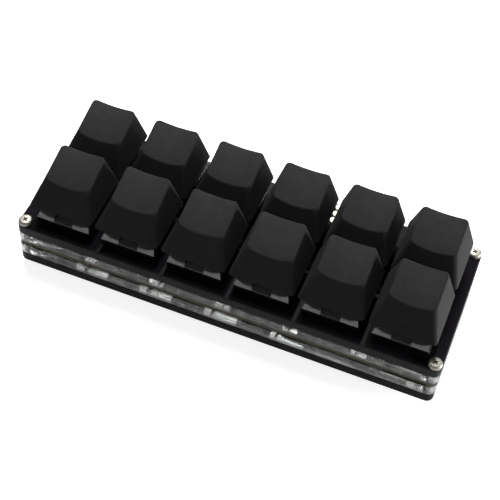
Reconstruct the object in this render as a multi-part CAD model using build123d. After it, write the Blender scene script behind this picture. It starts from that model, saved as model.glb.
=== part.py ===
"""A desk keypad: twelve sprung keys in two rows on a screwed stack of acrylic sheets.

Millimetres, +Z up, +X along the long side, -Y towards the user.
The origin is under the middle of the keypad, on the surface that its feet stand on.
"""
import math
import os

from build123d import *

# Key grid
switch_spacing = 3.45  # between neighbouring switch flanges
columns = 6
row_names = ("front", "back")
key_travel = 4.0

# Case sheets
case_margin = 2.5  # sheet beyond the outer key cells
case_corner_radius = 2.0
sheet_bevel = 0.2
bottom_plate_thickness = 3.0
board_thickness = 1.6
board_inset = 0.45  # board edge behind the sheet edges
upper_spacer_thickness = 3.0
top_plate_thickness = 3.0
upper_window_clearance = 0.5  # clear spacer round the switch bodies

# Stick-on feet
foot_diameter = 8.0
foot_height = 2.0
foot_edge_distance = 8.0  # foot centre from both case edges
foot_bevel = 0.5

# Corner screws
screw_edge_distance = 2.0  # screw centre from both case edges
screw_shank_diameter = 1.9
screw_hole_clearance = 0.15
thread_clearance = 0.03
screw_head_diameter = 3.7
screw_head_height = 1.2
screw_head_round = 0.65
screw_tip_margin = 0.5  # shank end above the underside of the bottom plate
recess_length = 2.1
recess_width = 0.5
recess_depth = 0.7

# Lower shell of a switch, heights from the top plate's upper face
body_size = 13.9
cutout_clearance = 0.05
flange_overhang = 0.85  # flange beyond the body on each side
flange_thickness = 0.8
flange_corner_radius = 0.6
body_wall = 0.95
body_floor = 0.8
body_board_gap = 1.0  # body underside above the board
tail_projection = 0.7  # peg and tails below the board
peg_diameter = 4.0
peg_clearance = 0.05
collar_wall = 0.4
collar_height = 1.2
bore_clearance = 0.05
bore_end_clearance = 0.3  # below the pressed shaft

# Return spring
spring_wire = 0.4
spring_mean_diameter = 4.2
spring_side_clearance = 0.3

# Stem
shaft_diameter = 2.4
shaft_engagement = 0.6  # shaft inside the collar at rest
stem_wall = 0.5  # round the spring pocket
stem_side_clearance = 0.2  # block inside the shell's walls, under the roof
stem_block_height = 3.95
stem_shoulder = 0.9  # block beyond the neck on each side
stem_neck_height = 0.75
stem_clearance = 0.1  # neck in the roof opening
stem_stop_clearance = 0.05  # block under the roof
spring_pocket_depth = 3.2
cross_length = 4.0
cross_width = 1.2
cross_height = 3.7
cam_width = 1.4
cam_height = 1.2
cam_clearance = 0.23  # cam in front of the moving leaf

# Clear upper shell of a switch
shell_setback = 0.1  # behind the flange's edge
shell_height = 5.8  # above the flange
shell_side_draft = 2.1  # roof's side edges in from the foot
shell_back_draft = 2.5  # roof's back edge in from the foot
shell_wall = 0.9
shell_roof = 0.8
roof_rim = 0.8  # roof in front of the stem opening
cavity_front_clearance = 0.5
light_slot_width = 5.4
light_slot_wall = 0.8

# Contacts
contact_thickness = 0.3
tail_width = 0.9
tail_slot_clearance = 0.05
tail_hole_diameter = 1.5
fixed_tail_x = 2.54
fixed_leaf_setback = 0.77  # fixed leaf in front of the body's back wall
moving_tail_x = -3.81
moving_tail_y = 2.54
fixed_leaf_width = 2.6
moving_leaf_width = 6.0
leaf_height = 4.0
leaf_gap = 0.3

# Keycap
cap_gap = 0.95  # between neighbouring skirts
cap_base_corner_radius = 1.0
cap_top_width = 12.6
cap_top_corner_radius = 1.2
cap_front_height = 7.25
cap_back_height = 10.1
cap_front_setback = 5.0
cap_back_setback = 2.3
cap_wall = 1.0
cap_roof = 1.4
dish_sag = 0.8
dish_overhang = 0.2  # the dish runs out past the side edges
cap_deck_clearance = 2.1  # pressed skirt above the top plate, clears the screw heads
boss_wall = 0.72
boss_gap = 0.5  # boss end above the stem's neck
cross_clearance = 0.03
cross_end_clearance = 0.2

# Indicator lights, in a line from the back edge, beside one key of the back row
indicator_key = 4
indicator_count = 3
indicator_spacing = 2.5
indicator_edge_distance = 1.4  # last light from the case edge
indicator_offset = 0.65  # from the middle between two keys, towards the lights' key
guide_head_diameter = 1.6
guide_head_height = 0.6
guide_head_round = 0.4
guide_stem_diameter = 1.0
guide_clearance = 0.05
lamp_length = 1.0
lamp_width = 0.8
lamp_height = 0.5
lamp_slot_clearance = 0.2
lamp_gap = 0.3  # light guide above its lamp

# Data socket
socket_width = 8.9
socket_height = 3.2
socket_length = 7.3
socket_wall = 0.3
socket_corner_radius = 1.5
socket_recess = 0.2  # socket mouth behind the case edge
socket_floor_clearance = 0.3
socket_side_clearance = 0.2
tongue_width = 6.7
tongue_thickness = 0.7
tongue_length = 4.6
tongue_base_length = 2.0
tongue_clearance = 0.03

# Parts under the board
tail_window_margin = 1.2  # clear spacer round tails and diode
diode_length = 2.7
diode_width = 1.6
diode_height = 1.1
diode_lead_length = 0.5
diode_lead_thickness = 0.2
diode_peg_gap = 1.2
controller_size = 7.0
controller_height = 1.0
crystal_length = 3.2
crystal_width = 2.5
crystal_height = 0.8
chip_length = 2.0
chip_width = 1.25
chip_height = 0.6
chip_end_length = 0.4
chip_end_thickness = 0.05
chip_spacing = 5.6  # between the two chips of a row
component_gap = 1.6  # between rows of components

# Cutting tools run this far past the faces that they cut
overrun = 1.0

# Sizes that follow from the switch body
flange_size = body_size + 2 * flange_overhang
key_pitch = flange_size + switch_spacing
shell_base_size = flange_size - 2 * shell_setback
shell_top_width = shell_base_size - 2 * shell_side_draft
shell_top_back = shell_base_size / 2 - shell_back_draft
stem_block_width = shell_top_width - 2 * (shell_wall + stem_side_clearance)
stem_neck_width = stem_block_width - 2 * stem_shoulder
body_inside = body_size / 2 - body_wall
fixed_tail_y = body_inside - fixed_leaf_setback - contact_thickness / 2
moving_leaf_y = fixed_tail_y - contact_thickness - leaf_gap

# Overall sizes
case_length = columns * key_pitch + 2 * case_margin
case_depth = len(row_names) * key_pitch + 2 * case_margin
lower_spacer_thickness = socket_height + socket_floor_clearance

# Levels of the stack
bottom_plate_z = foot_height
lower_spacer_z = bottom_plate_z + bottom_plate_thickness
board_z = lower_spacer_z + lower_spacer_thickness
upper_spacer_z = board_z + board_thickness
top_plate_z = upper_spacer_z + upper_spacer_thickness
deck_z = top_plate_z + top_plate_thickness

# Levels of a switch, from the deck
board_top = upper_spacer_z - deck_z
body_bottom = board_top + body_board_gap
tail_bottom = board_z - deck_z - tail_projection
floor_top = body_bottom + body_floor
shell_top = flange_thickness + shell_height
roof_bottom = shell_top - shell_roof
block_top = roof_bottom - stem_stop_clearance
block_bottom = block_top - stem_block_height
neck_top = block_top + stem_neck_height
cross_top = neck_top + cross_height
spring_top = block_bottom + spring_pocket_depth
collar_top = floor_top + collar_height
shaft_bottom = collar_top - shaft_engagement
bore_bottom = shaft_bottom - key_travel - bore_end_clearance
skirt_bottom = key_travel + cap_deck_clearance

# Sizes that follow from the spring and the stem
spring_outer_diameter = spring_mean_diameter + spring_wire
spring_inner_diameter = spring_mean_diameter - spring_wire
pocket_diameter = spring_outer_diameter + 2 * spring_side_clearance
stem_depth = pocket_diameter + 2 * stem_wall
opening_width = stem_neck_width + 2 * stem_clearance
opening_depth = stem_depth + 2 * stem_clearance
cavity_front = stem_depth / 2 + cavity_front_clearance
light_slot_back = cavity_front + light_slot_wall
shell_top_front = opening_depth / 2 + roof_rim
bore_diameter = shaft_diameter + 2 * bore_clearance
collar_diameter = bore_diameter + 2 * collar_wall
boss_diameter = cross_length + 2 * (cross_clearance + boss_wall)
cap_base_size = key_pitch - cap_gap

# Window in the lower spacer, round one switch's tails and diode
window_left = moving_tail_x - tail_width / 2 - tail_window_margin
window_right = fixed_tail_x + tail_width / 2 + tail_window_margin
diode_y = -(peg_diameter / 2 + diode_peg_gap + diode_width / 2)
window_front = diode_y - diode_width / 2 - tail_window_margin
window_back = fixed_tail_y + contact_thickness / 2 + tail_window_margin


def block(x0, x1, y0, y1, z0, z1):
    """A box from its lowest to its highest corner."""
    box = Box(x1 - x0, y1 - y0, z1 - z0)
    return Pos((x0 + x1) / 2, (y0 + y1) / 2, (z0 + z1) / 2) * box


def bar(width, depth, z0, z1):
    """A box about the Z axis."""
    return block(-width / 2, width / 2, -depth / 2, depth / 2, z0, z1)


def rod(diameter, z0, z1):
    """A round bar on the Z axis."""
    return Pos(0, 0, (z0 + z1) / 2) * Cylinder(diameter / 2, z1 - z0)


def key_places():
    """Name and centre of every key, the front row first."""
    places = []
    for row, row_name in enumerate(row_names):
        for column in range(columns):
            x = (column - (columns - 1) / 2) * key_pitch
            y = (row - (len(row_names) - 1) / 2) * key_pitch
            places.append((f"{row_name}_{column + 1}", x, y))
    return places


def corner_places(edge_distance):
    """The four points at one distance from both case edges."""
    x = case_length / 2 - edge_distance
    y = case_depth / 2 - edge_distance
    return [(-x, -y), (x, -y), (-x, y), (x, y)]


def sheet(thickness, z):
    """A blank of the case outline with softened edges."""
    blank = Pos(0, 0, z) * extrude(RectangleRounded(case_length, case_depth, case_corner_radius), thickness)
    rims = blank.faces().sort_by(Axis.Z)
    return chamfer(rims[0].edges() + rims[-1].edges(), sheet_bevel)


def screw_holes(diameter):
    """Four upright drills through the whole stack."""
    drill = rod(diameter, bottom_plate_z - overrun, deck_z + overrun)
    return [Pos(x, y) * drill for x, y in corner_places(screw_edge_distance)]


def switch_windows(size):
    """Square punches at every key, through the sheets above the board."""
    punch = bar(size, size, upper_spacer_z - overrun, deck_z + overrun)
    return [Pos(x, y) * punch for _, x, y in key_places()]


def indicator_places():
    """Centres of the indicator lights, from the back edge towards the user."""
    x = (indicator_key - columns / 2) * key_pitch - indicator_offset
    y = case_depth / 2 - indicator_edge_distance
    return [(x, y - i * indicator_spacing) for i in range(indicator_count)]


def make_top_plate():
    plate = sheet(top_plate_thickness, top_plate_z)
    plate -= switch_windows(body_size + 2 * cutout_clearance)
    drill = rod(guide_stem_diameter + 2 * guide_clearance, top_plate_z - overrun, deck_z + overrun)
    plate -= [Pos(x, y) * drill for x, y in indicator_places()]
    return plate - screw_holes(screw_shank_diameter + 2 * screw_hole_clearance)


def make_upper_spacer():
    spacer = sheet(upper_spacer_thickness, upper_spacer_z)
    spacer -= switch_windows(body_size + 2 * upper_window_clearance)
    width = guide_stem_diameter + 2 * lamp_slot_clearance
    length = (indicator_count - 1) * indicator_spacing + width
    x, back_y = indicator_places()[0]
    slot = bar(width, length, upper_spacer_z - overrun, top_plate_z + overrun)
    spacer -= Pos(x, back_y - (length - width) / 2) * slot
    return spacer - screw_holes(screw_shank_diameter + 2 * screw_hole_clearance)


def make_indicator_lamps():
    """Small lamps on the board, in a slot of the clear spacer."""
    lamp = bar(lamp_width, lamp_length, upper_spacer_z, upper_spacer_z + lamp_height)
    return [Pos(x, y) * lamp for x, y in indicator_places()]


def make_indicator_guides():
    """Light guides that hang in the top plate by their heads."""
    head = rod(guide_head_diameter, deck_z, deck_z + guide_head_height)
    head = fillet(head.edges().sort_by(Axis.Z)[-1], guide_head_round)
    guide = head + rod(guide_stem_diameter, upper_spacer_z + lamp_height + lamp_gap, deck_z)
    return [Pos(x, y) * guide for x, y in indicator_places()]


def make_circuit_board():
    length = case_length - 2 * board_inset
    depth = case_depth - 2 * board_inset
    radius = case_corner_radius - board_inset
    board = Pos(0, 0, board_z) * extrude(RectangleRounded(length, depth, radius), board_thickness)
    z0 = board_z - overrun
    z1 = upper_spacer_z + overrun
    peg_drill = rod(peg_diameter + 2 * peg_clearance, z0, z1)
    tail_drill = rod(tail_hole_diameter, z0, z1)
    drills = []
    for _, x, y in key_places():
        drills.append(Pos(x, y) * peg_drill)
        drills.append(Pos(x + fixed_tail_x, y + fixed_tail_y) * tail_drill)
        drills.append(Pos(x + moving_tail_x, y + moving_tail_y) * tail_drill)
    return board - drills - screw_holes(screw_shank_diameter + 2 * screw_hole_clearance)


def electronics_columns():
    """X of the last two key columns, with the electronics between them."""
    xs = sorted({x for _, x, _ in key_places()})
    return xs[-2], xs[-1]


def make_lower_spacer():
    z0 = lower_spacer_z - overrun
    z1 = board_z + overrun
    left, right = electronics_columns()
    window = block(window_left, window_right, window_front, window_back, z0, z1)
    cuts = [Pos(x, y) * window for _, x, y in key_places() if x < left]
    front = min(y for _, _, y in key_places()) + window_front
    back = max(y for _, _, y in key_places()) + window_back
    cuts.append(block(left + window_left, right + window_right, front, back, z0, z1))
    notch_half = socket_width / 2 + socket_side_clearance
    middle = (left + right) / 2
    mouth = case_depth / 2 + overrun
    cuts.append(block(middle - notch_half, middle + notch_half, 0, mouth, z0, z1))
    spacer = sheet(lower_spacer_thickness, lower_spacer_z) - cuts
    return spacer - screw_holes(screw_shank_diameter + 2 * screw_hole_clearance)


def make_bottom_plate():
    """The bottom sheet is tapped for the corner screws."""
    plate = sheet(bottom_plate_thickness, bottom_plate_z)
    return plate - screw_holes(screw_shank_diameter + 2 * thread_clearance)


def make_rubber_feet():
    foot = rod(foot_diameter, 0, foot_height)
    foot = chamfer(foot.edges().sort_by(Axis.Z)[0], foot_bevel)
    return [Pos(x, y) * foot for x, y in corner_places(foot_edge_distance)]


def make_corner_screws():
    head_top = deck_z + screw_head_height
    head = rod(screw_head_diameter, deck_z, head_top)
    head = fillet(head.edges().sort_by(Axis.Z)[-1], screw_head_round)
    screw = head + rod(screw_shank_diameter, bottom_plate_z + screw_tip_margin, deck_z)
    z0 = head_top - recess_depth
    z1 = head_top + overrun
    screw -= bar(recess_length, recess_width, z0, z1)
    screw -= bar(recess_width, recess_length, z0, z1)
    return [Pos(x, y) * screw for x, y in corner_places(screw_edge_distance)]


def make_bottom_housing():
    flange = extrude(RectangleRounded(flange_size, flange_size, flange_corner_radius), flange_thickness)
    housing = flange + bar(body_size, body_size, body_bottom, 0)
    cavity_top = flange_thickness + overrun
    housing -= block(-body_inside, body_inside, -cavity_front, body_inside, floor_top, cavity_top)
    housing += rod(peg_diameter, tail_bottom, floor_top)
    housing += rod(collar_diameter, floor_top, collar_top)
    housing -= rod(bore_diameter, bore_bottom, collar_top + overrun)
    slot_width = tail_width + 2 * tail_slot_clearance
    slot_depth = contact_thickness + 2 * tail_slot_clearance
    slot = bar(slot_width, slot_depth, body_bottom - overrun, floor_top + overrun)
    housing -= Pos(fixed_tail_x, fixed_tail_y) * slot
    return housing - Pos(moving_tail_x, moving_tail_y) * slot


def tapered_box(base, top, z0, z1):
    """A straight-sided loft between two rectangles, each given as x, front and back."""
    faces = []
    for (half_width, front, back), z in ((base, z0), (top, z1)):
        face = Pos(0, (front + back) / 2, z) * Rectangle(2 * half_width, back - front)
        faces.append(face)
    return loft(faces, ruled=True)


def make_top_housing():
    half_base = shell_base_size / 2
    half_top = shell_top_width / 2
    outside = tapered_box(
        (half_base, -half_base, half_base),
        (half_top, -shell_top_front, shell_top_back),
        flange_thickness,
        shell_top,
    )
    inside = tapered_box(
        (half_base - shell_wall, -cavity_front, half_base - shell_wall),
        (half_top - shell_wall, -cavity_front, shell_top_back - shell_wall),
        flange_thickness,
        roof_bottom,
    )
    half_slot = light_slot_width / 2
    front = -half_base - overrun
    z0 = flange_thickness - overrun
    z1 = shell_top + overrun
    slot = block(-half_slot, half_slot, front, -light_slot_back, z0, z1)
    opening = bar(opening_width, opening_depth, roof_bottom - overrun, z1)
    return outside - inside - slot - opening


def make_stem():
    stem = bar(stem_block_width, stem_depth, block_bottom, block_top)
    cam_x = (moving_tail_x + fixed_tail_x) / 2
    cam_back = moving_leaf_y - contact_thickness / 2 - cam_clearance
    cam = block(-cam_width / 2, cam_width / 2, 0, cam_back, block_bottom, block_bottom + cam_height)
    stem += Pos(cam_x, 0) * cam
    stem += bar(stem_neck_width, stem_depth, block_top, neck_top)
    stem -= rod(pocket_diameter, block_bottom - overrun, spring_top)
    stem += rod(shaft_diameter, shaft_bottom, spring_top)
    stem += bar(cross_length, cross_width, neck_top, cross_top)
    return stem + bar(cross_width, cross_length, neck_top, cross_top)


def make_spring():
    """The outer form of the return spring, a sleeve of its wire's thickness."""
    sleeve = rod(spring_outer_diameter, floor_top, spring_top)
    return sleeve - rod(spring_inner_diameter, floor_top - overrun, spring_top + overrun)


def contact_tail(x, y):
    return Pos(x, y) * bar(tail_width, contact_thickness, tail_bottom, floor_top)


def make_fixed_contact():
    leaf = bar(fixed_leaf_width, contact_thickness, floor_top, floor_top + leaf_height)
    return contact_tail(fixed_tail_x, fixed_tail_y) + Pos(fixed_tail_x, fixed_tail_y) * leaf


def make_moving_contact():
    half = contact_thickness / 2
    leaf_back = moving_leaf_y + half
    left = moving_tail_x - tail_width / 2
    foot_top = floor_top + contact_thickness
    foot = block(left, left + tail_width, moving_tail_y - half, leaf_back, floor_top, foot_top)
    right = left + moving_leaf_width
    leaf = block(left, right, moving_leaf_y - half, leaf_back, floor_top, floor_top + leaf_height)
    return contact_tail(moving_tail_x, moving_tail_y) + foot + leaf


def cap_top_plane(drop):
    """The keycap's sloping top, lowered square to itself by drop, and its slope."""
    front_y = -cap_base_size / 2 + cap_front_setback
    back_y = cap_base_size / 2 - cap_back_setback
    slope = math.atan2(cap_back_height - cap_front_height, back_y - front_y)
    middle_y = (front_y + back_y) / 2 + drop * math.sin(slope)
    middle_z = skirt_bottom + (cap_front_height + cap_back_height) / 2 - drop * math.cos(slope)
    up = (0, -math.sin(slope), math.cos(slope))
    return Plane(origin=(0, middle_y, middle_z), x_dir=(1, 0, 0), z_dir=up), slope


def cap_form(inset, drop, corner_share):
    """The keycap's outer form, drawn in all round by inset and down by drop."""
    plane, slope = cap_top_plane(drop)
    base_half = cap_base_size / 2 - inset
    top_z = plane.origin.Z - skirt_bottom
    mean_height = (cap_front_height + cap_back_height) / 2
    side_rise = (cap_base_size - cap_top_width) / 2 / mean_height
    front_rise = cap_front_setback / cap_front_height
    back_rise = cap_back_setback / cap_back_height
    middle_y = plane.origin.Y
    rise = math.tan(slope)
    front_y = (-base_half + front_rise * (top_z - rise * middle_y)) / (1 - front_rise * rise)
    back_y = (base_half - back_rise * (top_z - rise * middle_y)) / (1 + back_rise * rise)
    top_half = base_half - side_rise * top_z
    top_depth = (back_y - front_y) / math.cos(slope)
    shift = ((front_y + back_y) / 2 - middle_y) / math.cos(slope)
    base = RectangleRounded(2 * base_half, 2 * base_half, cap_base_corner_radius * corner_share)
    top = Pos(0, shift) * RectangleRounded(2 * top_half, top_depth, cap_top_corner_radius * corner_share)
    return loft([Pos(0, 0, skirt_bottom) * base, plane * top], ruled=True)


def cap_dish():
    """A long round cutter that hollows the keycap's top from side to side."""
    plane, _ = cap_top_plane(0)
    half_chord = cap_top_width / 2 + dish_overhang
    radius = (half_chord**2 + dish_sag**2) / (2 * dish_sag)
    roller = Cylinder(radius, 2 * cap_base_size, rotation=(90, 0, 0))
    return plane * Pos(0, 0, radius - dish_sag) * roller


def make_keycap():
    inner_corner_share = 0.25
    outside = cap_form(0, 0, 1) - cap_dish()
    inside = cap_form(cap_wall, dish_sag + cap_roof, inner_corner_share)
    boss_bottom = neck_top + boss_gap
    boss = rod(boss_diameter, boss_bottom, skirt_bottom + cap_back_height)
    slot_length = cross_length + 2 * cross_clearance
    slot_width = cross_width + 2 * cross_clearance
    slot_bottom = boss_bottom - overrun
    slot_top = cross_top + cross_end_clearance
    cap = outside - inside + (outside & boss)
    cap -= bar(slot_length, slot_width, slot_bottom, slot_top)
    return cap - bar(slot_width, slot_length, slot_bottom, slot_top)


def socket_middle():
    """X of the data socket, and Y of its mouth."""
    left, right = electronics_columns()
    return (left + right) / 2, case_depth / 2 - socket_recess


def socket_prism(inset, length):
    """A rounded bar of the socket's section, running in from the mouth."""
    x, mouth = socket_middle()
    section = RectangleRounded(
        socket_width - 2 * inset,
        socket_height - 2 * inset,
        socket_corner_radius - inset,
    )
    face = Plane(origin=(x, mouth, board_z - socket_height / 2), x_dir=(1, 0, 0), z_dir=(0, -1, 0))
    return extrude(face * section, length)


def make_socket_shell():
    return socket_prism(0, socket_length) - socket_prism(socket_wall, socket_length)


def make_socket_tongue():
    x, mouth = socket_middle()
    inner_end = mouth - socket_length
    base_front = inner_end + tongue_base_length
    base = socket_prism(socket_wall + tongue_clearance, socket_length)
    keep = block(x - socket_width, x + socket_width, inner_end, base_front, 0, deck_z)
    half = tongue_width / 2
    middle_z = board_z - socket_height / 2
    blade = block(
        x - half,
        x + half,
        base_front,
        base_front + tongue_length,
        middle_z - tongue_thickness / 2,
        middle_z + tongue_thickness / 2,
    )
    return (base & keep) + blade


def under_board(length, depth, height):
    """A box that hangs flat under the board."""
    return bar(length, depth, board_z - height, board_z)


def make_diode():
    diode = under_board(diode_length, diode_width, diode_height)
    lead_span = diode_length + 2 * diode_lead_length
    return diode + under_board(lead_span, diode_width / 2, diode_lead_thickness)


def make_chip():
    """A chip with raised metal ends, lying along Y."""
    chip = under_board(chip_width, chip_length, chip_height)
    wide = chip_width + 2 * chip_end_thickness
    end = under_board(wide, chip_end_length, chip_height + chip_end_thickness)
    end_y = (chip_length - chip_end_length) / 2
    return chip + Pos(0, end_y) * end + Pos(0, -end_y) * end


def component_rows():
    """Y of the rows of components, from the socket's inner end towards the user."""
    _, mouth = socket_middle()
    y = mouth - socket_length
    rows = {}
    for name, depth in (
        ("resistors", chip_length),
        ("controller", controller_size),
        ("crystal", crystal_width),
        ("capacitors", chip_length),
    ):
        rows[name] = y - component_gap - depth / 2
        y = rows[name] - depth / 2
    return rows


def chip_pair(row):
    """Two chips side by side in one row of components."""
    x, _ = socket_middle()
    y = component_rows()[row]
    return [Pos(x + side * chip_spacing / 2, y) * make_chip() for side in (-1, 1)]


def make_controller():
    x, _ = socket_middle()
    return Pos(x, component_rows()["controller"]) * under_board(
        controller_size, controller_size, controller_height
    )


def make_crystal():
    x, _ = socket_middle()
    return Pos(x, component_rows()["crystal"]) * under_board(crystal_length, crystal_width, crystal_height)


def at_keys(piece):
    """Copies of a switch piece at every key."""
    return [Pos(x, y, deck_z) * piece for _, x, y in key_places()]


def build_nodes():
    """Every node's name with its solid, or with its group of like solids."""
    nodes = {
        "top_plate": make_top_plate(),
        "upper_spacer": make_upper_spacer(),
        "circuit_board": make_circuit_board(),
        "lower_spacer": make_lower_spacer(),
        "bottom_plate": make_bottom_plate(),
        "rubber_feet": make_rubber_feet(),
        "corner_screws": make_corner_screws(),
        "switch_bottom_housings": at_keys(make_bottom_housing()),
        "switch_top_housings": at_keys(make_top_housing()),
        "switch_fixed_contacts": at_keys(make_fixed_contact()),
        "switch_moving_contacts": at_keys(make_moving_contact()),
        "matrix_diodes": [Pos(x, y + diode_y) * make_diode() for _, x, y in key_places()],
        "indicator_lamps": make_indicator_lamps(),
        "indicator_guides": make_indicator_guides(),
        "usb_socket_shell": make_socket_shell(),
        "usb_socket_tongue": make_socket_tongue(),
        "microcontroller": make_controller(),
        "crystal": make_crystal(),
        "chip_capacitors": chip_pair("capacitors"),
        "chip_resistors": chip_pair("resistors"),
    }
    keycap = make_keycap()
    stem = make_stem()
    spring = make_spring()
    for name, x, y in key_places():
        place = Pos(x, y, deck_z)
        nodes[f"keycap_{name}"] = place * keycap
        nodes[f"stem_{name}"] = place * stem
        nodes[f"spring_{name}"] = place * spring
    return nodes


def main():
    os.makedirs("parts", exist_ok=True)
    for name, shape in build_nodes().items():
        if isinstance(shape, list):
            shape = Compound(children=shape)
        export_step(shape, f"parts/{name}.step")


main()
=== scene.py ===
"""Dresses the macro keypad around its construction model, and sets up the studio for it."""
import math

import bmesh
import bpy
from bpy.props import FloatProperty, FloatVectorProperty, IntProperty, PointerProperty
from mathutils import Matrix, Vector


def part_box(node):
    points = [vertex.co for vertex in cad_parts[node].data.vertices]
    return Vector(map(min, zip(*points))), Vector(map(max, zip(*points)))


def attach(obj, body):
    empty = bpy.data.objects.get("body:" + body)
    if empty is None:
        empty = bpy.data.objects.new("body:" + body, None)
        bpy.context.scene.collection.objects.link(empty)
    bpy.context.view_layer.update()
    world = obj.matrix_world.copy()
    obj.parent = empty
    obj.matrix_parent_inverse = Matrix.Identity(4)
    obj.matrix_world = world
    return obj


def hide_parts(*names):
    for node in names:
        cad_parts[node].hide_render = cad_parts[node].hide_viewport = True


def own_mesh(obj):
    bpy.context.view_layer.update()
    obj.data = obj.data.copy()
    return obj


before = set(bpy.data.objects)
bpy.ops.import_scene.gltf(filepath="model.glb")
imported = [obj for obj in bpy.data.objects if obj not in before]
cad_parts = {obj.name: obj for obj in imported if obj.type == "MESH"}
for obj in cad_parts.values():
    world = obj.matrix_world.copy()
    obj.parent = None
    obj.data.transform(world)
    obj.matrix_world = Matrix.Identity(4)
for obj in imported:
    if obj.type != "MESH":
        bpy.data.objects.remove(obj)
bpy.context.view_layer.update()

bl_info = {
    "name": "Macro Keypad",
    "version": (1, 0, 0),
    "blender": (4, 5, 0),
    "location": "View3D > Sidebar > Keypad",
    "description": "Dresses a macro keypad around its construction model",
    "category": "Object",
}

MM = 0.001
MERGE = 0.001 * MM  # points closer than this are one
RELIEF = 0.01 * MM  # depth of the texture on moulded plastic
FACING = 0.8  # share of a face's normal along an axis, above which it faces that way
LYING = 0.9  # upward share of a normal, above which a sheet's face lies flat
ACRYLIC_IOR = 1.49
POLYCARBONATE_IOR = 1.58
VALUE_A, VALUE_B, COLOUR_A, COLOUR_B = 2, 3, 6, 7  # inputs of a Mix node, whose names repeat
COLOUR_OUT = 2  # output of a Mix node of colours
PADS = 12  # on each side of the controller, and strips on each face of the socket's tongue
SCREW_TURNS = (53, 15, 41, 33)  # degrees that each cross recess came to rest at
KEYS = [f"{row}_{column}" for row in ("front", "back") for column in range(1, 7)]


def linear(code):
    """An sRGB hex value as linear red, green and blue."""
    channels = [int(code[i:i + 2], 16) / 255 for i in (1, 3, 5)]
    return tuple(c / 12.92 if c <= 0.04045 else ((c + 0.055) / 1.055) ** 2.4 for c in channels)


def length(name, description, millimetres):
    """A size that a user can change, shown in Blender's length unit."""
    size = millimetres * MM
    return FloatProperty(name=name, description=description, default=size, unit="LENGTH")


def colour(name, description, code):
    """A colour that a user can change, given as an sRGB hex value."""
    return FloatVectorProperty(
        name=name,
        description=description,
        default=linear(code),
        size=3,
        min=0,
        max=1,
        subtype="COLOR",
    )


class KeypadSizes(bpy.types.PropertyGroup):
    """Sizes of the pieces that are modelled here."""

    cap_front_height: length("Key front height", "Front edge of the key top above the skirt", 7.25)
    cap_back_height: length("Key back height", "Back edge of the key top above the skirt", 10.1)
    cap_front_setback: length("Key front setback", "Top front edge behind the skirt", 5.0)
    cap_back_setback: length("Key back setback", "Top back edge in front of the skirt", 2.3)
    cap_top_width: length("Key top width", "Width of the key top", 12.6)
    cap_base_corner: length("Key skirt corner", "Corner radius of the skirt", 1.0)
    cap_top_corner: length("Key top corner", "Corner radius of the key top", 1.3)
    cap_rim: length("Key rim radius", "Radius of the edge round the key top", 0.3)
    cap_sag: length("Key dish", "Depth of the dish in the key top", 0.8)
    cap_wall: length("Key wall", "Wall of the keycap", 1.0)
    cap_roof: length("Key roof", "Roof of the keycap under the dish", 1.4)
    boss_diameter: length("Boss diameter", "Boss that grips the stem", 5.5)
    boss_bottom: length("Boss end", "Boss end above the skirt", 0.9)
    cross_length: length("Cross length", "Cross socket in the boss", 4.06)
    cross_width: length("Cross width", "Arms of the cross socket", 1.26)
    shell_width: length("Shell width", "Width of a switch shell at its foot", 15.4)
    shell_slot: length("Light slot", "Width of the slot in the front of a switch shell", 5.4)
    sill_depth: length("Sill depth", "Sill across the light slot, from front to back", 2.7)
    sill_height: length("Sill height", "Sill across the light slot, above the lower shell", 0.3)
    # Where the milky foot of a switch shell ends and its painted shade begins
    rim_at_slot: length("Shell foot at a slot", "Milky foot beside the slot, from the plate", 1.65)
    rim_at_corner: length("Shell foot at a corner", "Milky foot at a corner, from the plate", 2.4)
    rim_reach: length("Shell foot rise", "Width over which the foot rises towards a corner", 2.6)
    rim_fade: length("Shell foot fade", "Height over which the foot fades into thin walls", 0.5)
    sheet_gap: length("Sheet gap", "Air left between a clear sheet and its neighbours", 0.03)
    head_diameter: length("Screw head", "Diameter of the pan heads", 3.7)
    head_height: length("Screw head height", "Height of the pan heads", 1.2)
    shank_diameter: length("Screw shank", "Outer diameter of the thread", 1.9)
    thread_pitch: length("Thread pitch", "Pitch of the screw thread", 0.4)
    thread_depth: length("Thread depth", "Depth of the screw thread", 0.2)
    recess_length: length("Cross recess", "Length of the screwdriver recess", 2.1)
    recess_width: length("Recess arm", "Width of the recess arms", 0.55)
    recess_depth: length("Recess depth", "Depth of the screwdriver recess", 1.0)
    foot_diameter: length("Foot diameter", "Diameter of the stick-on feet", 8.0)
    foot_round: length("Foot rounding", "Radius of the foot's lower edge", 0.7)
    spring_wire: length("Spring wire", "Diameter of the spring wire", 0.4)
    spring_turns: IntProperty(
        name="Spring turns", description="Turns of a return spring", default=9, min=3
    )
    solder_diameter: length("Solder diameter", "Solder fillet round a contact tail", 1.9)
    solder_height: length("Solder height", "Solder fillet under the board", 0.65)
    plating: length("Plating", "Thickness of a metal skin on a component", 0.01)
    chip_width: length("Chip width", "Width of a chip over its ends", 1.35)
    chip_end: length("Chip end", "Length of a chip's metal end", 0.4)
    lead_length: length("Lead length", "Length of a diode's flat lead", 0.5)
    lead_width: length("Lead width", "Width of a diode's flat lead", 0.8)
    lead_thickness: length("Lead thickness", "Thickness of a diode's flat lead", 0.2)
    pad_pitch: length("Pad pitch", "Between pads of the controller and strips of the socket", 0.5)
    pad_width: length("Pad width", "Width of a pad or strip", 0.25)
    strip_length: length("Strip length", "Length of a contact strip on the socket's tongue", 3.9)


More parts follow.
